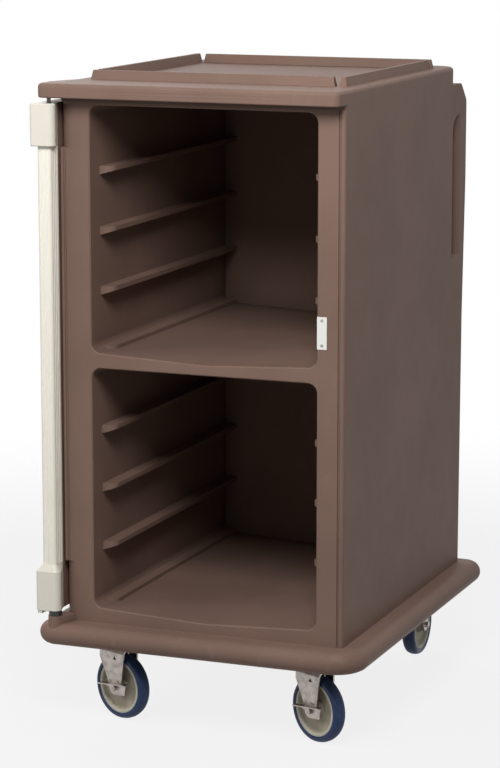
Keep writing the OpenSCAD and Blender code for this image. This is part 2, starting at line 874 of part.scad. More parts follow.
module door_hinge_stile() {
    color(cream) on_hinge() translate([0, 0, lower_block_top])
        linear_extrude(upper_block_bottom - lower_block_top) difference() {
            stile_outline();
            translate([door_in + stile_wall, 0]) square([door_t - 2 * stile_wall, stile_w + 1]);
            for (i = [0 : 2]) {
                translate([door_in + stile_r + i * flute_pitch, -stile_nose]) circle(flute_r);
                translate([door_out, stile_r + i * flute_pitch]) circle(flute_r);
            }
        }
}

// Outline of the moulded field, in the door's own length and height.
module door_field() {
    len = door_end - stile_w;
    height = door_top - door_bottom;
    translate([stile_w + len / 2, door_bottom + height / 2])
        rounded_plan(len - 2 * field_border, height - 2 * field_border, field_r);
}

// Stands an outline drawn in door length and height up in the plane of the door, from x outwards.
module on_door_plane(x, depth) {
    translate([x, 0, 0]) rotate([90, 0, 90]) linear_extrude(depth) children();
}

module door_panel() {
    edge_r = 12;
    color(mocha) on_hinge() difference() {
        union() {
            translate([0, 0, door_bottom]) linear_extrude(door_top - door_bottom) {
                translate([door_in, stile_w]) square([door_t, door_end - stile_w - edge_r]);
                translate([door_in + edge_r, stile_w]) square([door_t - 2 * edge_r, door_end - stile_w]);
                for (x = [door_in + edge_r, door_out - edge_r])
                    translate([x, door_end - edge_r]) circle(edge_r);
            }
            translate([door_in + stile_wall, 0, lower_block_top])
                cube([door_t - 2 * stile_wall, stile_w + 1, upper_block_bottom - lower_block_top]);
        }
        on_door_plane(door_in - 1, field_depth + 1) door_field();
        on_door_plane(cup_floor, cup_depth + 1) translate([spindle_y, latch_z]) circle(cup_r);
        on_door_plane(door_in - 1, door_t) translate([spindle_y, latch_z]) circle(spindle_bush_r);
        on_blocks() {
            union() {
                block_flange(upper_block_h);
                block_screw_places(upper_block_h) screw_hole();
            }
            union() {
                block_flange(lower_block_h);
                block_screw_places(lower_block_h) screw_hole();
            }
        }
    }
}

// ---- latch ----

module on_spindle() {
    on_hinge() translate([0, spindle_y, latch_z]) rotate([0, 90, 0]) children();
}

module latch_cup() {
    color(steel) on_spindle() difference() {
        translate([0, 0, cup_floor]) cylinder(h = cup_depth, r = cup_r);
        translate([0, 0, cup_floor + cup_wall]) cylinder(h = cup_depth, r = cup_r - cup_wall);
        translate([0, 0, cup_floor - 1]) cylinder(h = cup_wall + 2, r = spindle_bush_r);
    }
}

module latch_bush() {
    bush_in = door_in + field_depth;
    color(dark) on_spindle() translate([0, 0, bush_in])
        tube(cup_floor + cup_wall - bush_in, spindle_bush_r, spindle_r + run_clear);
}

module latch_handle() {
    grip_top_z = door_out - 1;
    grip_h = cup_depth - cup_wall - 1 - 2;
    bar_len = 2 * (cup_r - cup_wall) - 10;
    color(steel) on_spindle() {
        translate([0, 0, cam_face - cam_t]) cylinder(h = grip_top_z - 2 - cam_face + cam_t, r = spindle_r);
        translate([0, 0, grip_top_z - grip_h]) rotate(90) linear_extrude(grip_h)
            stadium(bar_len, grip_bar_w);
    }
}

module latch_cam() {
    color(steel) on_spindle() translate([0, 0, cam_face - cam_t]) difference() {
        linear_extrude(cam_t) {
            circle(cam_w / 2 + 4);
            translate([0, -cam_w / 2]) square([cam_len - cam_w / 2, cam_w]);
            translate([cam_len - cam_w / 2, 0]) circle(cam_w / 2);
        }
        translate([0, 0, -1]) cylinder(h = cam_t + 2, r = spindle_r);
    }
}

module latch_strike() {
    slot_d = cam_t + 2 * cam_clear;
    slot_h = 2 * cam_len * sqrt(1 - pow(spindle_in / cam_len, 2));
    color(white) strike_place() difference() {
        cube([strike_w, strike_d, strike_h]);
        translate([-1, cam_behind - cam_clear, (strike_h - slot_h - cam_w) / 2])
            cube([cam_bite + cam_clear + 1, slot_d, slot_h + cam_w]);
        strike_screw_places() {
            translate([0, 0, -1]) cylinder(h = strike_screw_head + 1, r = strike_screw_head_r);
            cylinder(h = strike_d + 1, r = screw_r);
        }
    }
}

// Lays children along each strike screw, from the face of the strike inwards.
module strike_screw_places() {
    for (z = [strike_screw_in, strike_h - strike_screw_in])
        translate([strike_w / 2, 0, z]) rotate([-90, 0, 0]) children();
}

module strike_screws() {
    color(steel) strike_place() strike_screw_places() {
        cylinder(h = strike_screw_head, r = strike_screw_head_r);
        cylinder(h = strike_d + screw_len, r = screw_r);
    }
}

// ---- casters ----

// Places children at a front kingpin: side is -1 for left and 1 for right.
module at_kingpin(side) { translate([side * side_x, front_y, 0]) children(); }

// Places children in a front caster's own frame: trail along +X, brake on the -Y side.
module in_swivel(side) {
    at_kingpin(side) rotate(side < 0 ? swivel_left : swivel_right) children();
}

// Lays children along the axle of a front caster, from the middle of the wheel.
module on_front_axle(side) {
    in_swivel(side) translate([trail, 0, wheel_r]) rotate([90, 0, 0]) children();
}

// Lays children along the axle of a rear caster, from the middle of the wheel.
module on_rear_axle(side) {
    translate([side * side_x, rear_y, wheel_r]) rotate([0, 90, 0]) rotate(90) children();
}

module plate_blank() {
    difference() {
        linear_extrude(plate_t) rounded_plan(plate_w, plate_len, plate_corner_r);
        plate_bolt_places() translate([0, 0, -1]) cylinder(h = plate_t + 2, r = bolt_r);
    }
}

module swivel_plate(side) {
    color(steel) at_kingpin(side) translate([0, 0, race_top]) difference() {
        plate_blank();
        translate([0, 0, -1]) cylinder(h = plate_t + 2, r = king_r);
    }
}

// Upper half of the ball race, fixed to the plate.
module swivel_race(side) {
    color(steel) at_kingpin(side) translate([0, 0, crown_top + seat]) rotate_extrude() polygon([
        [king_r, 0], [race_r - race_edge, 0], [race_r, race_edge],
        [race_r, race_h - race_edge - seat], [race_r - race_edge, race_h - seat],
        [king_r, race_h - seat]
    ]);
}

module swivel_kingpin(side) {
    color(steel) at_kingpin(side) {
        translate([0, 0, crown_bottom - king_gap - king_head])
            cylinder(h = king_head, r = king_head_r, $fn = 6);
        translate([0, 0, crown_bottom - king_gap - eps])
            cylinder(h = base_bottom - crown_bottom + king_gap + eps, r = king_r);
    }
}

// Point where a line from p touches a circle of radius r about the origin, on the side given by turn.
function touch(p, r, turn) =
    let (a = atan2(p[1], p[0]) + turn * acos(r / norm(p))) [r * cos(a), r * sin(a)];

// Side view of a leg, with the axle at the origin; rake is how far its top is set back.
module leg_outline(rake, top) {
    rear_knee = [-rake - leg_top / 2, top - leg_knee];
    front_knee = [-rake + leg_top / 2, top - leg_knee];
    circle(leg_r);
    polygon([
        [rear_knee[0], top], rear_knee, touch(rear_knee, leg_r, 1),
        touch(front_knee, leg_r, -1), front_knee, [front_knee[0], top]
    ]);
}

// Stands a side view, drawn about the axle, across the whole fork.
module across_fork() {
    translate([0, axle_half + 1, 0]) rotate([90, 0, 0])
        linear_extrude(2 * axle_half + 2) children();
}

// Front view of an arch with round shoulders, from below the axle up to its top.
module arch(half, top, bend) {
    translate([-half, -leg_r]) square([2 * half, top - bend + leg_r]);
    translate([bend - half, top - bend]) square([2 * (half - bend), bend]);
    for (x = [-1, 1]) translate([x * (half - bend), top - bend]) circle(bend);
}

// Pressed fork about its axle: one sheet bent over the wheel and cut to the outline of the legs.
module pressed_fork(rake, top) {
    difference() {
        intersection() {
            translate([-rake - leg_top / 2, 0, 0]) rotate([90, 0, 90]) linear_extrude(leg_top)
                difference() {
                    arch(axle_half, top, fork_bend);
                    translate([0, -1]) arch(fork_gap / 2, top - fork_t + 1, fork_bend_in);
                }
            across_fork() leg_outline(rake, top);
        }
        across_fork() circle(axle_r);
        translate([peep_shift - rake / 2, 0, top - leg_knee + peep_r / 2])
            rotate([0, -90, 0]) rotate([90, 0, 0])
                cylinder(h = 2 * axle_half + 2, r = peep_r, center = true, $fn = 3);
    }
}

module swivel_fork(side) {
    color(steel) in_swivel(side) difference() {
        translate([trail, 0, wheel_r]) pressed_fork(leg_rake, crown_top - wheel_r);
        translate([0, 0, crown_bottom - 1]) cylinder(h = fork_t + 2, r = king_r + run_clear);
    }
}

module rear_fork(side) {
    color(steel) {
        translate([side * side_x, rear_y, race_top]) plate_blank();
        translate([side * side_x, rear_y, wheel_r]) rotate(90)
            pressed_fork(0, race_top - wheel_r + crown_sunk);
    }
}

// Axle bolt along Z with a hex head and a nut; reach is the extra length on the +Z side.
module axle_bolt(reach) {
    cylinder(h = 2 * axle_half + reach, r = axle_r);
    translate([0, 0, -nut_h]) cylinder(h = nut_h, r = nut_r, $fn = 6);
    translate([0, 0, 2 * axle_half + reach]) cylinder(h = nut_h, r = nut_r, $fn = 6);
}

module swivel_axle(side) {
    brake_room = pedal_t + 2 * seat;
    color(steel) on_front_axle(side) translate([0, 0, -axle_half]) axle_bolt(brake_room);
}

module rear_axle(side) {
    color(steel) on_rear_axle(side) translate([0, 0, -axle_half]) axle_bolt(0);
}

// Foot brake: a cheek that turns on the axle outside the fork, and a tread bent out from its top.
module swivel_brake(side) {
    color(steel) on_front_axle(side) translate([0, 0, axle_half + seat]) rotate(pedal_tilt)
        difference() {
            union() {
                linear_extrude(pedal_t) {
                    circle(cheek_r);
                    polygon([
                        [-pedal_len / 2, pedal_z + eps], [-cheek_r, 0], [0, -cheek_r],
                        [pedal_len / 3, -cheek_r], [pedal_len / 2 - pedal_w / 2, pedal_z + eps]
                    ]);
                }
                translate([-pedal_len / 2, pedal_z, 0]) cube([pedal_len, pedal_t, pedal_w]);
            }
            translate([0, 0, -1]) cylinder(h = pedal_t + 2, r = axle_r + run_clear);
        }
}

// Wheel core: hub, dished web and rim, along Z about its middle.
module wheel_core() {
    half = wheel_w / 2;
    bush_out = axle_r + bush_wall;
    rotate_extrude() polygon([
        [bush_out, -hub_len / 2], [hub_r - core_edge, -hub_len / 2],
        [hub_r, core_edge - hub_len / 2], [hub_r + web_t / 2, -web_t / 2],
        [core_r - rim_t - core_slope, -web_t / 2], [core_r - rim_t, core_edge - half],
        [core_r, core_edge - half], [core_r, half - core_edge], [core_r - rim_t, half - core_edge],
        [core_r - rim_t - core_slope, web_t / 2], [hub_r + web_t / 2, web_t / 2],
        [hub_r, hub_len / 2 - core_edge], [hub_r - core_edge, hub_len / 2],
        [bush_out, hub_len / 2]
    ]);
}

module wheel_bush() {
    translate([0, 0, -hub_len / 2]) tube(hub_len, axle_r + bush_wall, axle_r + run_clear);
}

// Tyre with a crowned tread and round shoulders.
module wheel_tyre() {
    half = wheel_w / 2;
    shoulder_x = wheel_r - tread_crown - tyre_shoulder;
    rotate_extrude($fn = 96) polygon(concat(
        [[core_r, core_edge - half], [core_r + core_edge, -half]],
        arc([shoulder_x, tyre_shoulder - half], tyre_shoulder, -90, -15, 5),
        [[wheel_r, -tread_half], [wheel_r, tread_half]],
        arc([shoulder_x, half - tyre_shoulder], tyre_shoulder, 15, 90, 5),
        [[core_r + core_edge, half], [core_r, half - core_edge]]
    ));
}

module front_left_plate() { swivel_plate(-1); }
module front_left_race() { swivel_race(-1); }
module front_left_kingpin() { swivel_kingpin(-1); }
module front_left_fork() { swivel_fork(-1); }
module front_left_axle() { swivel_axle(-1); }
module front_left_brake() { swivel_brake(-1); }
module front_left_core() { color(putty) on_front_axle(-1) wheel_core(); }
module front_left_bush() { color(dark) on_front_axle(-1) wheel_bush(); }
module front_left_tyre() { color(blue) on_front_axle(-1) wheel_tyre(); }
module front_right_plate() { swivel_plate(1); }
module front_right_race() { swivel_race(1); }
module front_right_kingpin() { swivel_kingpin(1); }
module front_right_fork() { swivel_fork(1); }
module front_right_axle() { swivel_axle(1); }
module front_right_brake() { swivel_brake(1); }
module front_right_core() { color(putty) on_front_axle(1) wheel_core(); }
module front_right_bush() { color(dark) on_front_axle(1) wheel_bush(); }
module front_right_tyre() { color(blue) on_front_axle(1) wheel_tyre(); }
module rear_left_fork() { rear_fork(-1); }
module rear_left_axle() { rear_axle(-1); }
module rear_left_core() { color(putty) on_rear_axle(-1) wheel_core(); }
module rear_left_bush() { color(dark) on_rear_axle(-1) wheel_bush(); }
module rear_left_tyre() { color(blue) on_rear_axle(-1) wheel_tyre(); }
module rear_right_fork() { rear_fork(1); }
module rear_right_axle() { rear_axle(1); }
module rear_right_core() { color(putty) on_rear_axle(1) wheel_core(); }
module rear_right_bush() { color(dark) on_rear_axle(1) wheel_bush(); }
module rear_right_tyre() { color(blue) on_rear_axle(1) wheel_tyre(); }

cabinet_shell();
left_tray_slides();
right_tray_slides();
top_deck();
deck_rails();
base_bumper();
latch_strike();
strike_screws();
upper_hinge_pin();
lower_hinge_pin();
hinge_washer();
door_panel();
door_hinge_stile();
upper_hinge_block();
lower_hinge_block();
upper_hinge_bush();
lower_hinge_bush();
hinge_block_screws();
latch_cup();
latch_bush();
latch_handle();
latch_cam();
caster_bolts();
front_left_plate();
front_left_race();
front_left_kingpin();
front_left_fork();
front_left_axle();
front_left_brake();
front_left_core();
front_left_bush();
front_left_tyre();
front_right_plate();
front_right_race();
front_right_kingpin();
front_right_fork();
front_right_axle();
front_right_brake();
front_right_core();
front_right_bush();
front_right_tyre();
rear_left_fork();
rear_left_axle();
rear_left_core();
rear_left_bush();
rear_left_tyre();
rear_right_fork();
rear_right_axle();
rear_right_core();
rear_right_bush();
rear_right_tyre();
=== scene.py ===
"""Looks of an enclosed meal tray cart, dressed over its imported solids.

The solids come from the frame. This script softens their edges, gives each of them its finish,
adds the thin mouldings and pressings that sit on them, and sets a plain studio round them.
Everything is in metres, in the frame of the solids.
"""

import json
import logging
import math
from collections.abc import Iterable, Sequence
from dataclasses import dataclass
from enum import Enum

import bmesh
import bpy
from mathutils import Matrix, Vector


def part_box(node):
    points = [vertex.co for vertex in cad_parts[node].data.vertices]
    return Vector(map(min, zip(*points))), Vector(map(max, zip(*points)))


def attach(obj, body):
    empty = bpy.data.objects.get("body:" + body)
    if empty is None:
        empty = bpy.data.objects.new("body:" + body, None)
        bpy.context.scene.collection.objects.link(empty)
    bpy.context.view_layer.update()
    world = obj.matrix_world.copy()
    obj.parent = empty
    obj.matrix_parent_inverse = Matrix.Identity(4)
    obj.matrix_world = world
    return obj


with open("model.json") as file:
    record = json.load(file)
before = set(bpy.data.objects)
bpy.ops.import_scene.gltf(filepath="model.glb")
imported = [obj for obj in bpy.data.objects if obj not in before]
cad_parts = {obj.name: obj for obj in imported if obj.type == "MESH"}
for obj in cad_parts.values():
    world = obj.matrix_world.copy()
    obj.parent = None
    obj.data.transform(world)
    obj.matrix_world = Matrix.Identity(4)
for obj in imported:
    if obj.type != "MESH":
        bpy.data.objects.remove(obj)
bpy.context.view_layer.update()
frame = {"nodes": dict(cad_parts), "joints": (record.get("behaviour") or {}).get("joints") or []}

Triple = tuple[float, float, float]
Paint = tuple[float, float, float, float]

LOG = logging.getLogger("cart")
PHOTO_WIDTH = 500
SENSOR_WIDTH = 36.0
MM = 0.001
EVEN: Triple = (1.0, 1.0, 1.0)
FULL_WHITE: Paint = (1.0, 1.0, 1.0, 1.0)
CABINET = "cabinet"

# Sockets of a Mix node that mixes colours.
MIX_FACTOR, MIX_FIRST, MIX_SECOND, MIX_RESULT = 0, 6, 7, 2


class Slot(Enum):
    """The material slots of the record that the added pieces take."""

    SHELL = "mocha_shell"
    NYLON = "black_nylon"
    STEEL = "zinc_steel"


class End(Enum):
    """The ends of the cart; only the front casters swivel and have brakes."""

    FRONT = "front"
    REAR = "rear"


class Side(Enum):
    """The sides of the cart."""

    LEFT = "left"
    RIGHT = "right"


def linear(colour: Triple, share: float = 1.0) -> Paint:
    """Turns a colour as a screen shows it, by the sRGB curve, into the linear one of a shader.

    Args:
        colour: Red, green and blue from 0 to 255.
        share: How much of its light is kept.

    Returns:
        The linear colour with an alpha of 1.
    """
    parts = [c / 255 for c in colour]
    red, green, blue = (
        share * (c / 12.92 if c <= 0.04045 else ((c + 0.055) / 1.055) ** 2.4) for c in parts
    )
    return red, green, blue, 1.0


@dataclass(frozen=True)
class Value:
    """A socket of a node, on which sums are written as Python expressions."""

    nodes: "Nodes"
    socket: bpy.types.NodeSocket

    def __add__(self, other: "Value | float") -> "Value":
        """Adds."""
        return self.nodes.math("ADD", self, other)

    def __radd__(self, other: float) -> "Value":
        """Adds to a number."""
        return self.nodes.math("ADD", other, self)

    def __sub__(self, other: "Value | float") -> "Value":
        """Subtracts."""
        return self.nodes.math("SUBTRACT", self, other)

    def __rsub__(self, other: float) -> "Value":
        """Subtracts from a number."""
        return self.nodes.math("SUBTRACT", other, self)

    def __mul__(self, other: "Value | float") -> "Value":
        """Multiplies."""
        return self.nodes.math("MULTIPLY", self, other)

    def __rmul__(self, other: float) -> "Value":
        """Multiplies a number."""
        return self.nodes.math("MULTIPLY", other, self)

    def rise(self, low: float, high: float) -> "Value":
        """Rises smoothly from 0 at low to 1 at high.

        Args:
            low: Where the rise starts.
            high: Where it ends; below low, the value falls instead.

        Returns:
            A mask between 0 and 1.
        """
        mask = self.nodes.pick(
            "Result",
            "ShaderNodeMapRange",
            {"interpolation_type": "SMOOTHSTEP"},
            {"Value": self, "From Min": min(low, high), "From Max": max(low, high)},
        )
        return mask if low <= high else 1 - mask


class Nodes:
    """A node tree whose nodes come from expressions and one node method."""

    def __init__(self, tree: bpy.types.NodeTree) -> None:
        """Empties the tree.

        Args:
            tree: The tree of a material or a world.
        """
        self.tree = tree
        self.tree.nodes.clear()

    def node(
        self,
        kind: str,
        settings: dict[str, object] | None = None,
        inputs: dict[str | int, object] | None = None,
    ) -> bpy.types.Node:
        """Adds a node.

        Args:
            kind: The node's type.
            settings: What is set first, such as an operation.
            inputs: A value or a link for each named or numbered socket.

        Returns:
            The node.
        """
        made = self.tree.nodes.new(kind)
        for key, value in (settings or {}).items():
            setattr(made, key, value)
        for key, value in (inputs or {}).items():
            if isinstance(value, Value):
                self.tree.links.new(value.socket, made.inputs[key])
            else:
                made.inputs[key].default_value = value
        return made

    def pick(
        self,
        output: str | int,
        kind: str,
        settings: dict[str, object] | None = None,
        inputs: dict[str | int, object] | None = None,
    ) -> Value:
        """Adds a node and picks one of its outputs.

        Args:
            output: The output's name or number.
            kind: The node's type.
            settings: What is set first.
            inputs: A value or a link for each named or numbered socket.

        Returns:
            The output.
        """
        return Value(self, self.node(kind, settings, inputs).outputs[output])

    def math(self, operation: str, *terms: Value | float) -> Value:
        """Adds a Math node for an operation on values.

        Args:
            operation: The node's operation.
            terms: One to three values or numbers.

        Returns:
            The result.
        """
        return self.pick(0, "ShaderNodeMath", {"operation": operation}, dict(enumerate(terms)))

    def vector(self, operation: str, first: Value, second: Triple) -> Value:
        """Adds a Vector Math node for an operation with a fixed vector.

        Args:
            operation: The node's operation.
            first: The vector that it works on.
            second: The fixed vector.

        Returns:
            The resulting vector.
        """
        settings = {"operation": operation}
        return self.pick("Vector", "ShaderNodeVectorMath", settings, {0: first, 1: second})

    def length(self, vector: Value) -> Value:
        """Gives the length of a vector.

        Args:
            vector: The vector.

        Returns:
            Its length.
        """
        return self.pick("Value", "ShaderNodeVectorMath", {"operation": "LENGTH"}, {0: vector})

    def seen(self) -> Value:
        """Masks the rays that see the white room: from the camera, in gloss and through glass.

        Returns:
            1 for those rays and 0 for the rest.
        """
        path = self.node("ShaderNodeLightPath")
        camera, gloss, glass = (
            Value(self, path.outputs[name])
            for name in ("Is Camera Ray", "Is Glossy Ray", "Is Transmission Ray")
        )
        return self.math("MAXIMUM", self.math("MAXIMUM", camera, gloss), glass)


class Shader(Nodes):
    """The nodes of a material, with the patterns and surfaces that the finishes share."""

    def __init__(self, name: str) -> None:
        """Starts an empty material.

        Args:
            name: The material's name.
        """
        self.material = bpy.data.materials.new(name)
        self.material.use_nodes = True
        super().__init__(self.material.node_tree)

    def place(self, stretch: Triple = EVEN) -> Value:
        """Gives the place on the piece in metres, stretched along its axes.

        Args:
            stretch: A factor for each axis.

        Returns:
            The vector.
        """
        spot = self.pick("Object", "ShaderNodeTexCoord")
        return spot if stretch == EVEN else self.vector("MULTIPLY", spot, stretch)

    def height(self) -> Value:
        """Gives the height of the place above the floor."""
        return self.pick("Z", "ShaderNodeSeparateXYZ", None, {"Vector": self.place()})

    def noise(self, grain: float, detail: float, stretch: Triple = EVEN) -> Value:
        """Gives a noise whose grains are about one size.

        Args:
            grain: The size of a grain in metres.
            detail: Octaves of finer noise.
            stretch: A factor for each axis, under 1 where grains are drawn out.

        Returns:
            The noise, from 0 to 1 round 0.5.
        """
        return self.pick(
            0,
            "ShaderNodeTexNoise",
            {"noise_dimensions": "3D"},
            {"Vector": self.place(stretch), "Scale": 1 / grain, "Detail": detail},
        )

    def openness(self, reach: float, rays: int) -> Value:
        """Gives how open the place is, on its own piece.

        Args:
            reach: How near the walls of a crevice are.
            rays: How many directions are tried.

        Returns:
            1 on an open face, and less in a narrow recess.
        """
        return self.pick(
            "AO",
            "ShaderNodeAmbientOcclusion",
            {"samples": rays, "only_local": True},
            {"Distance": reach},
        )

    def mix(self, factor: Value, first: Paint | Value, second: Paint | Value) -> Value:
        """Mixes two colours.

        Args:
            factor: 0 for the first and 1 for the second.
            first: A colour or a link.
            second: A colour or a link.

        Returns:
            The mixed colour.
        """
        inputs = {MIX_FACTOR: factor, MIX_FIRST: first, MIX_SECOND: second}
        return self.pick(MIX_RESULT, "ShaderNodeMix", {"data_type": "RGBA"}, inputs)

    def bump(
        self, height: Value, depth: float, strength: float, under: Value | None = None
    ) -> Value:
        """Turns heights into a normal.

        Args:
            height: The height from 0 to 1.
            depth: What a height of 1 stands for, in metres.
            strength: How much of it shows.
            under: A normal that this one adds to.

        Returns:
            The normal.
        """
        inputs: dict[str | int, object] = {
            "Height": height,
            "Distance": depth,
            "Strength": strength,
        }
        if under is not None:
            inputs["Normal"] = under
        return self.pick("Normal", "ShaderNodeBump", None, inputs)

    def close(self, surface: Value) -> bpy.types.Material:
        """Finishes the material with what its surface shows.

        Args:
            surface: The output of a surface shader.

        Returns:
            The material.
        """
        self.node("ShaderNodeOutputMaterial", None, {"Surface": surface})
        return self.material

    def surface(self, inputs: dict[str | int, object]) -> bpy.types.Material:
        """Finishes the material with one surface shader.

        Args:
            inputs: The sockets of the surface shader.

        Returns:
            The material.
        """
        return self.close(self.pick(0, "ShaderNodeBsdfPrincipled", None, inputs))


@dataclass(frozen=True)
class Patches:
    """Patches on a surface: their size, where the noise turns into one, and how strong they are."""

    size: float
    detail: float
    low: float
    high: float
    amount: float = 1.0
    stretch: Triple = EVEN

    def mask(self, shader: Shader) -> Value:
        """Builds the mask.

        Args:
            shader: The shader that the nodes go into.

        Returns:
            The amount inside a patch and 0 outside.
        """
        noise = shader.noise(self.size, self.detail, self.stretch)
        return noise.rise(self.low, self.high) * self.amount


@dataclass(frozen=True)
class Relief:
    """A fine unevenness: the size of its grains, their depth and how much of it shows."""

    size: float
    detail: float
    depth: float
    strength: float
    stretch: Triple = EVEN

    def height(self, shader: Shader) -> Value:
        """Builds its heights.

        Args:
            shader: The shader that the nodes go into.

        Returns:
            The height from 0 to 1.
        """
        return shader.noise(self.size, self.detail, self.stretch)

    def normal(self, shader: Shader, under: Value | None = None) -> Value:
        """Builds its normal.

        Args:
            shader: The shader that the nodes go into.
            under: A normal that this one adds to.

        Returns:
            The normal.
        """
        return shader.bump(self.height(shader), self.depth, self.strength, under)


@dataclass(frozen=True)
class MouldedShell:
    """Rotomoulded polyethylene: mottled, finely grained, rubbed in places, with painted shade
    darkening its recesses.
    """

    name: str
    colour: Triple
    worn: Triple
    gloss: float = 0.47
    sheen: float = 0.11
    deep_share: float = 0.86
    mottle: Patches = Patches(260 * MM, 3.0, 0.3, 0.7)
    speck: Patches = Patches(2.6 * MM, 2.0, 0.62, 0.8, 0.22)
    scuff: Patches = Patches(34 * MM, 4.0, 0.6, 0.78, 1.0, (1.0, 1.0, 0.35))
    scuff_base: float = 0.12
    scuff_foot: float = 0.3
    foot_top: float = 260 * MM
    foot_bottom: float = 170 * MM
    # Painted shade: the base colour is darkened wherever the occlusion finds a recess.
    recess_shade_reach: float = 85 * MM
    recess_shade_rays: int = 6
    recess_shade_open: float = 0.85
    recess_shade_shut: float = 0.3
    recess_shade_amount: float = 0.7
    recess_shade_share: float = 0.3
    cloud_size: float = 45 * MM
    cloud_detail: float = 3.0
    cloud_dulls: float = 0.1
    scuff_dulls: float = 0.12
    wave: Relief = Relief(60 * MM, 1.0, 0.5 * MM, 0.35, (1.0, 1.0, 0.05))
    peel: Relief = Relief(1.4 * MM, 2.0, 0.12 * MM, 0.5)

    def make(self) -> bpy.types.Material:
        """Builds the material.

        Returns:
            The material.
        """
        shader = Shader(self.name)
        base, worn = linear(self.colour), linear(self.worn)
        foot = shader.height().rise(self.foot_top, self.foot_bottom)
        scuff = self.scuff.mask(shader) * (self.scuff_base + self.scuff_foot * foot)
        tone = shader.mix(self.mottle.mask(shader), linear(self.colour, self.deep_share), base)
        tone = shader.mix(self.speck.mask(shader), tone, worn)
        tone = shader.mix(scuff, tone, worn)
        # Painted shade: recesses, as the occlusion finds them, darken the base colour.
        openness = shader.openness(self.recess_shade_reach, self.recess_shade_rays)
        soil_and_shade = openness.rise(self.recess_shade_open, self.recess_shade_shut) * self.recess_shade_amount
        tone = shader.mix(soil_and_shade, tone, linear(self.colour, self.recess_shade_share))
        cloud = shader.noise(self.cloud_size, self.cloud_detail)
        rough = self.gloss + self.cloud_dulls * cloud + self.scuff_dulls * scuff
        return shader.surface(
            {
                "Base Color": tone,
                "Roughness": rough,
                "Specular IOR Level": self.sheen,
                "Normal": self.peel.normal(shader, self.wave.normal(shader)),
            }
        )


@dataclass(frozen=True)
class SatinFitting:
    """Moulded or extruded fittings: smooth plastic with faint draw lines and a little soiling."""

    name: str
    colour: Triple
    # This second colour is that of real soiled patches; no shade is painted here.
    soil_and_shade: Triple
    gloss: float = 0.34
    patch: Patches = Patches(90 * MM, 4.0, 0.5, 0.85, 0.35)
    cloud_size: float = 30 * MM
    cloud_detail: float = 3.0
    cloud_dulls: float = 0.12
    line_dulls: float = 0.04
    lines: Relief = Relief(1.6 * MM, 1.0, 0.05 * MM, 0.4, (1.0, 1.0, 0.02))
    grain: Relief = Relief(0.9 * MM, 1.0, 0.03 * MM, 0.35)

    def make(self) -> bpy.types.Material:
        """Builds the material.

        Returns:
            The material.
        """
        shader = Shader(self.name)
        tone = shader.mix(self.patch.mask(shader), linear(self.colour), linear(self.soil_and_shade))
        cloud = shader.noise(self.cloud_size, self.cloud_detail)
        rough = self.gloss + self.cloud_dulls * cloud + self.line_dulls * self.lines.height(shader)
        normal = self.grain.normal(shader, self.lines.normal(shader))
        return shader.surface({"Base Color": tone, "Roughness": rough, "Normal": normal})


@dataclass(frozen=True)
class PlatedSteel:
    """Pressed or turned steel: plated, with a cloudy tint, drawn grain and handling marks."""

    name: str
    colour: Triple
    tint: Triple
    gloss: float = 0.27
    grain: Relief = Relief(1.1 * MM, 3.0, 0.03 * MM, 0.45)
    grain_dulls: float = 0.08
    cloud: Patches = Patches(14 * MM, 4.0, 0.35, 0.75, 0.7)
    rub: Patches = Patches(7 * MM, 5.0, 0.5, 0.8, 0.16)

    def make(self) -> bpy.types.Material:
        """Builds the material.

        Returns:
            The material.
        """
        shader = Shader(self.name)
        tone = shader.mix(self.cloud.mask(shader), linear(self.colour), linear(self.tint))
        grain = self.grain.height(shader)
        rough = self.gloss + self.rub.mask(shader) + self.grain_dulls * grain
        normal = self.grain.normal(shader)
        return shader.surface(
            {"Base Color": tone, "Roughness": rough, "Metallic": 1.0, "Normal": normal}
        )


@dataclass(frozen=True)
class WheelFinish:
    """What the two finishes of a wheel share: masks by the distance from its axle."""

    centre: Vector
    axis: Vector

    def radius(self, shader: Shader) -> Value:
        """Gives the distance from the axle.

        Args:
            shader: The shader that the nodes go into.

        Returns:
            The distance in metres.
        """
        arm = shader.vector("SUBTRACT", shader.place(), tuple(self.centre))
        across = shader.vector("CROSS_PRODUCT", arm, tuple(self.axis))
        return shader.length(across)


@dataclass(frozen=True)
class TyreFinish(WheelFinish):
    """Cast polyurethane: deep blue, satin at the sides, dulled with dust and nicks on the tread."""

    name: str
    tread_from: float
    tread_to: float
    colour: Triple = (30, 52, 92)
    dust: Triple = (62, 74, 96)
    deep_share: float = 0.72
    patch: Patches = Patches(11 * MM, 4.0, 0.35, 0.75)
    dust_base: float = 0.12
    dust_patch: float = 0.4
    gloss: float = 0.34
    tread_dulls: float = 0.26
    patch_dulls: float = 0.1
    sheen: float = 0.3
    nicks: Relief = Relief(3.2 * MM, 4.0, 0.12 * MM, 0.5)
    side_nicks: float = 0.15

    def make(self) -> bpy.types.Material:
        """Builds the material.

        Returns:
            The material.
        """
        shader = Shader(self.name)
        tread = self.radius(shader).rise(self.tread_from, self.tread_to)
        patch = self.patch.mask(shader)
        tone = shader.mix(patch, linear(self.colour, self.deep_share), linear(self.colour))
        dusty = tread * (self.dust_base + self.dust_patch * patch)
        tone = shader.mix(dusty, tone, linear(self.dust))
        rough = self.gloss + self.tread_dulls * tread + self.patch_dulls * patch
        nicked = self.side_nicks + (1 - self.side_nicks) * tread
        height = self.nicks.height(shader) * nicked
        return shader.surface(
            {
                "Base Color": tone,
                "Roughness": rough,
                "Specular IOR Level": self.sheen,
                "Normal": shader.bump(height, self.nicks.depth, self.nicks.strength),
            }
        )


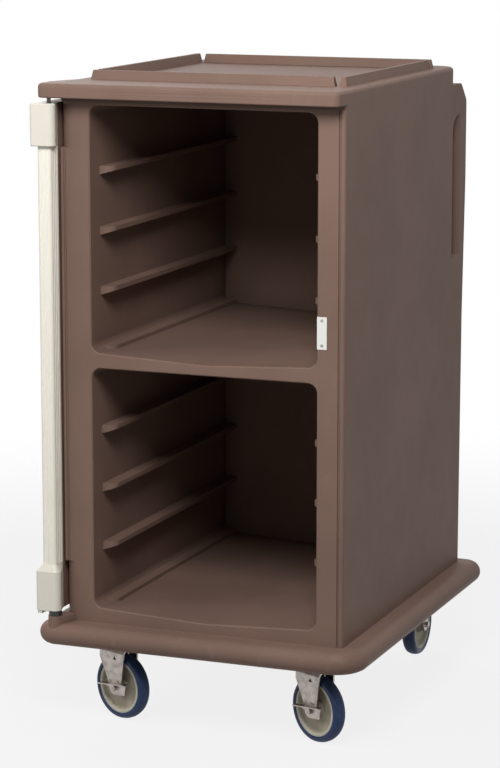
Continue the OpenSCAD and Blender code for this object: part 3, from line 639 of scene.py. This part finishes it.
@dataclass(frozen=True)
class CoreFinish(WheelFinish):
    """Moulded wheel core: putty grey with turned rings, a rim painted paler as a highlight, clouds
    of grime and painted shade round the hub.
    """

    name: str
    hub: float
    rim: float
    colour: Triple = (172, 164, 145)
    pale: Triple = (198, 193, 178)
    grime_and_shade_colour: Triple = (104, 95, 80)
    rim_fade: float = 3 * MM
    hub_fade: float = 12 * MM
    cloud: Patches = Patches(24 * MM, 3.0, 0.3, 0.75)
    grime_cloud: float = 0.25
    hub_shade: float = 0.4
    gloss: float = 0.4
    cloud_dulls: float = 0.12
    sheen: float = 0.3
    ring_pitch: float = 1.7 * MM
    ring_depth: float = 0.03 * MM
    ring_strength: float = 0.3
    grain: Relief = Relief(1.2 * MM, 2.0, 0.04 * MM, 0.35)

    def make(self) -> bpy.types.Material:
        """Builds the material.

        Returns:
            The material.
        """
        shader = Shader(self.name)
        radius = self.radius(shader)
        rim = radius.rise(self.rim - self.rim_fade, self.rim)
        hub = radius.rise(self.hub + self.hub_fade, self.hub)
        cloud = self.cloud.mask(shader)
        # Painted highlight: the raised rim is painted paler, as where light catches it.
        tone = shader.mix(rim, linear(self.colour), linear(self.pale))
        # Grime in clouds, with painted shade that darkens the clouds further near the hub.
        grime_and_hub_shade = self.grime_cloud * cloud + self.hub_shade * hub * cloud
        tone = shader.mix(grime_and_hub_shade, tone, linear(self.grime_and_shade_colour))
        rings = shader.math("SINE", radius * (math.tau / self.ring_pitch))
        turned = shader.bump(0.5 + 0.5 * rings, self.ring_depth, self.ring_strength)
        return shader.surface(
            {
                "Base Color": tone,
                "Roughness": self.gloss + self.cloud_dulls * cloud,
                "Specular IOR Level": self.sheen,
                "Normal": self.grain.normal(shader, turned),
            }
        )


BRUSH_MARKS = Relief(1.1 * MM, 3.0, 0.03 * MM, 0.45, (1.0, 0.05, 1.0))

SHELL = MouldedShell("shell_moulding", (126, 102, 91), (150, 128, 116))
DOOR = MouldedShell("door_moulding", (124, 100, 89), (150, 128, 116), gloss=0.5)
CREAM = SatinFitting("cream_plastic", (221, 216, 203), (203, 195, 176))
# Painted light: the stile takes a lighter copy of the cream, as if it were more brightly lit than
# the hinge blocks.
LIT_STILE = SatinFitting("cream_stile_painted_lighter", (238, 233, 221), (222, 215, 199), gloss=0.4)
WHITE = SatinFitting("strike_plastic", (226, 226, 222), (206, 204, 196), gloss=0.36)
NYLON = SatinFitting("bearing_nylon", (34, 33, 32), (58, 55, 52), gloss=0.38)
ZINC = PlatedSteel("zinc_plate", (182, 173, 167), (128, 120, 115))
PIN_STEEL = PlatedSteel("oiled_pin", (92, 88, 84), (58, 54, 50), gloss=0.34)
# Painted shade: the race steel is made dark, standing for the shade that falls on it under the
# bumper.
SHADED_RACE_STEEL = PlatedSteel("race_steel_painted_shade", (64, 60, 57), (34, 31, 29), gloss=0.36)
BRUSHED = PlatedSteel("brushed_latch", (192, 189, 184), (172, 168, 163), 0.26, BRUSH_MARKS)


@dataclass(frozen=True)
class EdgeBreak:
    """Softens the hard edges of a solid, as moulding or deburring does."""

    width: float
    segments: int = 3
    angle: float = math.radians(34)
    weld: float = 0.002 * MM
    flat_angle: float = math.radians(0.4)
    face_weight: int = 80

    def soften(self, piece: bpy.types.Object) -> None:
        """Adds the modifiers to a piece.

        Args:
            piece: The mesh object.
        """
        weld = piece.modifiers.new("weld", "WELD")
        weld.merge_threshold = self.weld
        flat = piece.modifiers.new("flat", "DECIMATE")
        flat.decimate_type = "DISSOLVE"
        flat.angle_limit = self.flat_angle
        bevel = piece.modifiers.new("edges", "BEVEL")
        bevel.width = self.width
        bevel.segments = self.segments
        bevel.limit_method = "ANGLE"
        bevel.angle_limit = self.angle
        bevel.miter_outer = "MITER_ARC"
        bevel.use_clamp_overlap = True
        normals = piece.modifiers.new("normals", "WEIGHTED_NORMAL")
        normals.weight = self.face_weight
        normals.keep_sharp = False


def dress(nodes: Iterable[str], material: bpy.types.Material, edge: EdgeBreak | None) -> None:
    """Gives solids a finish and softened edges.

    Args:
        nodes: Names of the solids.
        material: Their finish.
        edge: How their edges are broken, or None to leave them.
    """
    for name in nodes:
        piece = frame["nodes"][name]
        piece.data.materials.clear()
        piece.data.materials.append(material)
        if edge is not None:
            edge.soften(piece)


@dataclass
class AddedPiece:
    """A piece that this script adds: its name, the body that carries it and its finish."""

    name: str
    body: str
    material: bpy.types.Material
    slot: Slot
    crease: float = math.radians(40)

    def finish(self, mesh: bmesh.types.BMesh) -> None:
        """Turns built geometry into the piece and lets it ride.

        Args:
            mesh: Its geometry, freed here.
        """
        bmesh.ops.recalc_face_normals(mesh, faces=mesh.faces)
        data = bpy.data.meshes.new(self.name)
        mesh.to_mesh(data)
        mesh.free()
        data.materials.append(self.material)
        data.shade_smooth()
        data.set_sharp_from_angle(angle=self.crease)
        piece = bpy.data.objects.new(self.name, data)
        bpy.context.scene.collection.objects.link(piece)
        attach(piece, self.body)
        LOG.info("%s added", self.name)


@dataclass(frozen=True)
class RaisedLine:
    """A low half-round moulding that runs over a surface and fades out at its ends."""

    width: float
    height: float
    sunk: float = 0.25 * MM
    end_share: float = 0.15
    sides: int = 6

    def add(self, mesh: bmesh.types.BMesh, path: Sequence[Vector], normal: Vector) -> None:
        """Adds the moulding along a path.

        Args:
            mesh: The geometry that it goes into.
            path: Points on the surface.
            normal: The outward direction of the surface.
        """
        last = len(path) - 1
        rings = []
        for index, point in enumerate(path):
            along = path[min(index + 1, last)] - path[max(index - 1, 0)]
            side = normal.cross(along).normalized()
            share = self.end_share if index in (0, last) else 1.0
            ring = []
            for step in range(self.sides + 1):
                turn = math.pi * step / self.sides
                across = side * (self.width / 2 * share * math.cos(turn))
                up = normal * (self.height * share * math.sin(turn) - self.sunk)
                ring.append(mesh.verts.new(point + across + up))
            rings.append(ring)
        for first, second in zip(rings, rings[1:]):
            join_rings(mesh, first, second)
        mesh.faces.new(rings[0])
        mesh.faces.new(tuple(reversed(rings[-1])))


def join_rings(
    mesh: bmesh.types.BMesh,
    first: Sequence[bmesh.types.BMVert],
    second: Sequence[bmesh.types.BMVert],
) -> None:
    """Joins two closed rings of as many points with a band of faces.

    Args:
        mesh: The geometry that they are in.
        first: The points of one ring.
        second: The points of the next.
    """
    for a in range(len(first)):
        b = (a + 1) % len(first)
        mesh.faces.new((first[a], first[b], second[b], second[a]))


def lathe(
    mesh: bmesh.types.BMesh, centre: Vector, outline: Sequence[tuple[float, float]], turns: int
) -> None:
    """Turns a closed outline round an upright axis.

    Args:
        mesh: The geometry that it goes into.
        centre: The point of the axis that heights are measured from.
        outline: Radius and height of each point.
        turns: How many steps make the full turn.
    """
    rings = []
    for step in range(turns):
        angle = math.tau * step / turns
        spoke = Vector((math.cos(angle), math.sin(angle), 0))
        rings.append([mesh.verts.new(centre + spoke * r + Vector((0, 0, z))) for r, z in outline])
    for index, ring in enumerate(rings):
        join_rings(mesh, ring, rings[(index + 1) % turns])


def touch(spot: Vector, radius: float, turn: float) -> Vector:
    """Finds where a line from a spot touches a circle round the origin.

    Args:
        spot: Where the line starts.
        radius: The circle's radius.
        turn: 1 or -1, for the line's side of the circle.

    Returns:
        The point on the circle.
    """
    angle = math.atan2(spot.y, spot.x) + turn * math.acos(radius / spot.length)
    return Vector((radius * math.cos(angle), radius * math.sin(angle)))


@dataclass
class Cabinet:
    """The moulded cabinet with its slides, deck, rails, bumper, strike and hinge pins."""

    wall_edge: EdgeBreak = EdgeBreak(2.2 * MM)
    deck_edge: EdgeBreak = EdgeBreak(1.6 * MM)
    rail_edge: EdgeBreak = EdgeBreak(3.0 * MM)
    strike_edge: EdgeBreak = EdgeBreak(0.9 * MM)
    pin_edge: EdgeBreak = EdgeBreak(0.5 * MM, 2)
    washer_edge: EdgeBreak = EdgeBreak(0.6 * MM, 2)
    screw_edge: EdgeBreak = EdgeBreak(0.3 * MM, 2)
    mould_line: RaisedLine = RaisedLine(2.6 * MM, 0.7 * MM)
    mould_line_z: float = 402 * MM
    mould_line_front: float = -67 * MM
    mould_line_back: float = 372 * MM
    mould_line_steps: int = 24
    nose_step: RaisedLine = RaisedLine(2.4 * MM, 0.5 * MM)
    nose_drops: tuple[float, ...] = (13 * MM, 20 * MM)
    nose_end: float = 30 * MM
    nose_shares: tuple[float, ...] = (-1.0, -0.5, 0.0, 0.5, 1.0)

    def dress(self, shell: bpy.types.Material) -> None:
        """Gives the solids of the cabinet their finishes.

        Args:
            shell: The finish of its mouldings.
        """
        dress(["cabinet_shell", "left_tray_slides", "right_tray_slides"], shell, self.wall_edge)
        dress(["top_deck", "base_bumper"], shell, self.deck_edge)
        dress(["deck_rails"], shell, self.rail_edge)
        dress(["latch_strike"], WHITE.make(), self.strike_edge)
        dress(["upper_hinge_pin", "lower_hinge_pin"], PIN_STEEL.make(), self.pin_edge)
        dress(["hinge_washer"], NYLON.make(), self.washer_edge)
        dress(["strike_screws"], ZINC.make(), self.screw_edge)

    def build_mould_lines(self, shell: bpy.types.Material) -> None:
        """Adds the faint mould line low on each outer side.

        Args:
            shell: The finish of the mouldings.
        """
        low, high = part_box("cabinet_shell")
        front = Vector((0, self.mould_line_front, self.mould_line_z))
        back = Vector((0, self.mould_line_back, self.mould_line_z))
        for side, x, out in ((Side.LEFT, low.x, -1.0), (Side.RIGHT, high.x, 1.0)):
            path = [
                front.lerp(back, step / self.mould_line_steps) + Vector((x, 0, 0))
                for step in range(self.mould_line_steps + 1)
            ]
            mesh = bmesh.new()
            self.mould_line.add(mesh, path, Vector((out, 0, 0)))
            AddedPiece(f"{side.value}_mould_line", CABINET, shell, Slot.SHELL).finish(mesh)

    def build_nose_steps(self, shell: bpy.types.Material) -> None:
        """Adds the two low steps that run along the front of the deck's nose.

        Args:
            shell: The finish of the mouldings.
        """
        deck_low, deck_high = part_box("top_deck")
        rail_low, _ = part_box("deck_rails")
        reach = deck_high.x - self.nose_end
        mesh = bmesh.new()
        for drop in self.nose_drops:
            z = rail_low.z - drop
            path = [Vector((share * reach, deck_low.y, z)) for share in self.nose_shares]
            self.nose_step.add(mesh, path, Vector((0, -1, 0)))
        AddedPiece("nose_steps", CABINET, shell, Slot.SHELL).finish(mesh)


@dataclass
class Door:
    """The door with its pale edge profile, hinge blocks and turn latch."""

    panel_edge: EdgeBreak = EdgeBreak(2.5 * MM)
    stile_edge: EdgeBreak = EdgeBreak(0.8 * MM, 2)
    block_edge: EdgeBreak = EdgeBreak(1.6 * MM)
    small_edge: EdgeBreak = EdgeBreak(0.4 * MM, 2)
    latch_edge: EdgeBreak = EdgeBreak(1.0 * MM)

    def dress(self) -> None:
        """Gives the solids of the door their finishes."""
        bushes = ["upper_hinge_bush", "lower_hinge_bush", "latch_bush"]
        dress(["door_panel"], DOOR.make(), self.panel_edge)
        dress(["door_hinge_stile"], LIT_STILE.make(), self.stile_edge)
        dress(["upper_hinge_block", "lower_hinge_block"], CREAM.make(), self.block_edge)
        dress(bushes, NYLON.make(), self.small_edge)
        dress(["hinge_block_screws"], ZINC.make(), self.small_edge)
        dress(["latch_cup", "latch_handle", "latch_cam"], BRUSHED.make(), self.latch_edge)


@dataclass(frozen=True)
class CasterFinishes:
    """The finishes that the four casters share."""

    steel: bpy.types.Material
    race: bpy.types.Material
    nylon: bpy.types.Material


@dataclass
class Caster:
    """One caster: its fork, axle and wheel and, in front, its plate, race and foot brake.

    The sizes of the legs and the pedal are those of the solids, measured from the axle.
    """

    end: End
    side: Side
    finishes: CasterFinishes
    tread_outer: float = 1.5 * MM
    tread_inner: float = 5 * MM
    hub_r: float = 17 * MM
    rim_width: float = 6 * MM
    press_edge: EdgeBreak = EdgeBreak(0.8 * MM, 2)
    turned_edge: EdgeBreak = EdgeBreak(0.6 * MM, 2)
    pin_edge: EdgeBreak = EdgeBreak(0.5 * MM, 2)
    bush_edge: EdgeBreak = EdgeBreak(0.3 * MM, 2)
    leg_r: float = 16 * MM
    leg_face: float = 23.6 * MM
    rear_knee: tuple[float, float] = (-51 * MM, 63.6 * MM)
    front_knee: tuple[float, float] = (25 * MM, 63.6 * MM)
    leg_line: RaisedLine = RaisedLine(2.6 * MM, 0.7 * MM)
    leg_line_inset: float = 4.5 * MM
    leg_line_low: float = 34 * MM
    leg_line_rises: tuple[float, ...] = (9.5 * MM, 4 * MM)
    leg_line_shares: tuple[float, ...] = (0.97, 0.9, 0.6, 0.3, 0.1, 0.0)
    seal_in: float = 0.6 * MM
    seal_out: float = 0.5 * MM
    seal_half: float = 2.2 * MM
    seal_lip: float = 1.6 * MM
    seal_turns: int = 64
    pedal_top: float = 10.5 * MM
    pedal_tilt: float = math.radians(6.5)
    rib: RaisedLine = RaisedLine(2.2 * MM, 0.6 * MM)
    rib_from: float = 23 * MM
    rib_pitch: float = 6 * MM
    rib_count: int = 3
    rib_reach: tuple[float, ...] = (3 * MM, 4 * MM, 8 * MM, 12.5 * MM, 13.5 * MM)

    @property
    def name(self) -> str:
        """Gives the start of its pieces' names."""
        return f"{self.end.value}_{self.side.value}"

    def part(self, piece: str) -> str:
        """Gives the full name of one of its pieces or bodies.

        Args:
            piece: The end of the name.

        Returns:
            The name.
        """
        return f"{self.name}_{piece}"

    def axle(self) -> tuple[Vector, Vector]:
        """Finds the wheel's centre and axle direction.

        Returns:
            The centre and the unit vector along the axle.
        """
        joint = next(j for j in frame["joints"] if j["name"] == self.part("wheel_spin"))
        return Vector(joint["pos_m"]), Vector(joint["axis"]).normalized()

    def wheel_radius(self, piece: str) -> float:
        """Measures a round piece of the wheel.

        Args:
            piece: The end of its name.

        Returns:
            Half its height.
        """
        low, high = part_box(self.part(piece))
        return (high.z - low.z) / 2

    def dress(self) -> None:
        """Gives the solids of the caster their finishes."""
        self.dress_wheel()
        steel = self.finishes.steel
        dress([self.part("bush")], self.finishes.nylon, self.bush_edge)
        dress([self.part("fork")], steel, self.press_edge)
        dress([self.part("axle")], steel, self.turned_edge)
        if self.end is End.FRONT:
            dress([self.part("plate")], steel, self.press_edge)
            dress([self.part("kingpin"), self.part("brake")], steel, self.pin_edge)
            dress([self.part("race")], self.finishes.race, self.turned_edge)

    def dress_wheel(self) -> None:
        """Gives the tyre and the core the finishes that follow their own axle."""
        centre, axis = self.axle()
        tyre_r, core_r = self.wheel_radius("tyre"), self.wheel_radius("core")
        tread_from, tread_to = tyre_r - self.tread_inner, tyre_r - self.tread_outer
        tyre = TyreFinish(centre, axis, self.part("tyre_cast"), tread_from, tread_to)
        rim = core_r - self.rim_width
        core = CoreFinish(centre, axis, self.part("core_moulding"), self.hub_r, rim)
        dress([self.part("tyre")], tyre.make(), None)
        dress([self.part("core")], core.make(), self.press_edge)

    def build(self) -> None:
        """Adds the legs' pressed edges, the race's seal and the pedal's ribs to a front caster."""
        if self.end is End.FRONT:
            self.build_leg_edges()
            self.build_seal()
            self.build_pedal_ribs()

    def leg_frame(self) -> Matrix:
        """Finds the frame of a front fork: X along its trail, Y up and Z out past the brake.

        Returns:
            The place of the frame, with its origin at the middle of the wheel.
        """
        centre, axis = self.axle()
        brake_low, brake_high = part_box(self.part("brake"))
        out = axis if ((brake_low + brake_high) / 2 - centre).dot(axis) > 0 else -axis
        up = Vector((0, 0, 1))
        turn = Matrix((up.cross(out), up, out)).transposed().to_4x4()
        return Matrix.Translation(centre) @ turn

    def build_leg_edges(self) -> None:
        """Adds the low pressed lines that stiffen both edges of each leg."""
        place = self.leg_frame()
        mesh = bmesh.new()
        for knee, turn in ((Vector(self.rear_knee), 1.0), (Vector(self.front_knee), -1.0)):
            foot = touch(knee, self.leg_r, turn)
            low = foot.lerp(knee, (self.leg_line_low - foot.y) / (knee.y - foot.y))
            line = [knee + Vector((0, rise)) for rise in self.leg_line_rises]
            line += [low.lerp(knee, share) for share in self.leg_line_shares]
            inset = turn * self.leg_line_inset
            for out in (-1.0, 1.0):
                face = out * self.leg_face
                path = [place @ Vector((spot.x + inset, spot.y, face)) for spot in line]
                self.leg_line.add(mesh, path, place.to_3x3() @ Vector((0, 0, out)))
        steel = self.finishes.steel
        AddedPiece(self.part("leg_edges"), self.part("swivel"), steel, Slot.STEEL).finish(mesh)

    def build_seal(self) -> None:
        """Adds the dark seal round the ball race."""
        low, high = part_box(self.part("race"))
        race_r = (high.x - low.x) / 2
        inner, outer = race_r - self.seal_in, race_r + self.seal_out
        outline = [
            (inner, -self.seal_half),
            (outer, -self.seal_lip),
            (outer, self.seal_lip),
            (inner, self.seal_half),
        ]
        mesh = bmesh.new()
        lathe(mesh, (low + high) / 2, outline, self.seal_turns)
        nylon = self.finishes.nylon
        AddedPiece(self.part("race_seal"), CABINET, nylon, Slot.NYLON).finish(mesh)

    def build_pedal_ribs(self) -> None:
        """Adds the grip ribs across both ends of the brake pedal."""
        place = self.leg_frame() @ Matrix.Rotation(self.pedal_tilt, 4, "Z")
        normal = place.to_3x3() @ Vector((0, 1, 0))
        mesh = bmesh.new()
        for end in (-1.0, 1.0):
            for step in range(self.rib_count):
                x = end * (self.rib_from + step * self.rib_pitch)
                path = [
                    place @ Vector((x, self.pedal_top, self.leg_face + reach))
                    for reach in self.rib_reach
                ]
                self.rib.add(mesh, path, normal)
        steel = self.finishes.steel
        AddedPiece(self.part("pedal_ribs"), self.part("brake"), steel, Slot.STEEL).finish(mesh)


@dataclass(frozen=True)
class Lamp:
    """A soft box that points at the cart."""

    name: str
    place: Triple
    size: float
    power: float
    aim: Triple

    def light(self) -> None:
        """Adds the lamp to the scene."""
        data = bpy.data.lights.new(self.name, "AREA")
        data.shape = "SQUARE"
        data.size = self.size
        data.energy = self.power
        lamp = bpy.data.objects.new(self.name, data)
        lamp.location = self.place
        toward = Vector(self.aim) - lamp.location
        lamp.rotation_euler = toward.to_track_quat("-Z", "Y").to_euler()
        bpy.context.scene.collection.objects.link(lamp)


@dataclass
class Studio:
    """A pale floor that fades into a white room, and soft boxes."""

    floor_half: float = 9.0
    floor_cells: int = 8
    floor_grey: float = 0.42
    near_glow: float = 0.84
    fade_from: float = 1.3
    fade_to: float = 3.2
    room: float = 0.21
    lamps: tuple[Lamp, ...] = (
        Lamp("key", (0.7, -2.4, 2.9), 1.1, 78.0, (0.0, -0.3, 1.35)),
        Lamp("left_fill", (-3.4, -3.0, 2.6), 2.0, 50.0, (0.0, 0.0, 1.3)),
        Lamp("side", (4.6, 1.6, 3.6), 2.4, 22.0, (0.0, 0.0, 1.1)),
        Lamp("back", (-3.8, 3.9, 4.2), 2.4, 125.0, (0.0, 0.0, 0.9)),
    )

    def build(self) -> None:
        """Builds the floor, the room and the lamps."""
        self.build_floor()
        self.build_room()
        for lamp in self.lamps:
            lamp.light()
        bpy.context.scene.view_settings.view_transform = "Standard"

    def build_floor(self) -> None:
        """Adds the floor, which is staging."""
        cells = self.floor_cells
        mesh = bmesh.new()
        bmesh.ops.create_grid(mesh, x_segments=cells, y_segments=cells, size=self.floor_half)
        data = bpy.data.meshes.new("floor")
        mesh.to_mesh(data)
        mesh.free()
        data.materials.append(self.floor_finish())
        floor = bpy.data.objects.new("floor", data)
        bpy.context.scene.collection.objects.link(floor)

    def floor_finish(self) -> bpy.types.Material:
        """Builds the floor's material, which fades to white away from the cart.

        Returns:
            The material.
        """
        shader = Shader("pale_floor")
        grey = self.floor_grey
        far = shader.length(shader.place()).rise(self.fade_from, self.fade_to)
        glow = (self.near_glow + (1 - self.near_glow) * far) * shader.seen()
        matt = shader.pick(0, "ShaderNodeBsdfDiffuse", None, {"Color": (grey, grey, grey, 1.0)})
        white = shader.pick(0, "ShaderNodeEmission", None, {"Color": FULL_WHITE})
        inputs = {0: glow, 1: matt, 2: white}
        return shader.close(shader.pick(0, "ShaderNodeMixShader", None, inputs))

    def build_room(self) -> None:
        """Makes the room white to look at and dimmer as a light."""
        world = bpy.data.worlds.new("room")
        world.use_nodes = True
        bpy.context.scene.world = world
        nodes = Nodes(world.node_tree)
        inputs = {"Value": nodes.seen(), "To Min": self.room}
        level = nodes.pick("Result", "ShaderNodeMapRange", None, inputs)
        inputs = {"Color": FULL_WHITE, "Strength": level}
        light = nodes.pick(0, "ShaderNodeBackground", None, inputs)
        nodes.node("ShaderNodeOutputWorld", None, {"Surface": light})


@dataclass(frozen=True)
class PhotoCamera:
    """The camera at the photograph's place, set level across and tipped down a little."""

    place: Triple = (2.2661, -5.8436, 1.8903)
    yaw: float = math.radians(21.604)
    pitch: float = math.radians(10.574)
    focal_px: float = 2770.9

    def build(self) -> None:
        """Adds the camera and makes it the scene's."""
        level = math.cos(self.pitch)
        forward = Vector(
            (-math.sin(self.yaw) * level, math.cos(self.yaw) * level, -math.sin(self.pitch))
        )
        right = Vector((math.cos(self.yaw), math.sin(self.yaw), 0))
        turn = Matrix((right, right.cross(forward), -forward)).transposed().to_4x4()
        data = bpy.data.cameras.new("photo_camera")
        data.sensor_fit = "HORIZONTAL"
        data.sensor_width = SENSOR_WIDTH
        data.lens = self.focal_px * SENSOR_WIDTH / PHOTO_WIDTH
        camera = bpy.data.objects.new("photo_camera", data)
        camera.matrix_world = Matrix.Translation(Vector(self.place)) @ turn
        bpy.context.scene.collection.objects.link(camera)
        bpy.context.scene.camera = camera


def main() -> None:
    """Sets the camera and the studio, then dresses and builds the cart."""
    logging.basicConfig(level=logging.INFO, format="%(name)s: %(message)s")
    PhotoCamera().build()
    Studio().build()
    LOG.info("studio and camera set")
    cabinet, shell = Cabinet(), SHELL.make()
    cabinet.dress(shell)
    LOG.info("cabinet dressed")
    cabinet.build_mould_lines(shell)
    cabinet.build_nose_steps(shell)
    Door().dress()
    LOG.info("door dressed")
    finishes = CasterFinishes(ZINC.make(), SHADED_RACE_STEEL.make(), NYLON.make())
    dress(["caster_bolts"], finishes.steel, Caster.turned_edge)
    for end in End:
        for side in Side:
            caster = Caster(end, side, finishes)
            caster.dress()
            LOG.info("%s caster dressed", caster.name)
            caster.build()


if __name__ == "__main__":
    main()
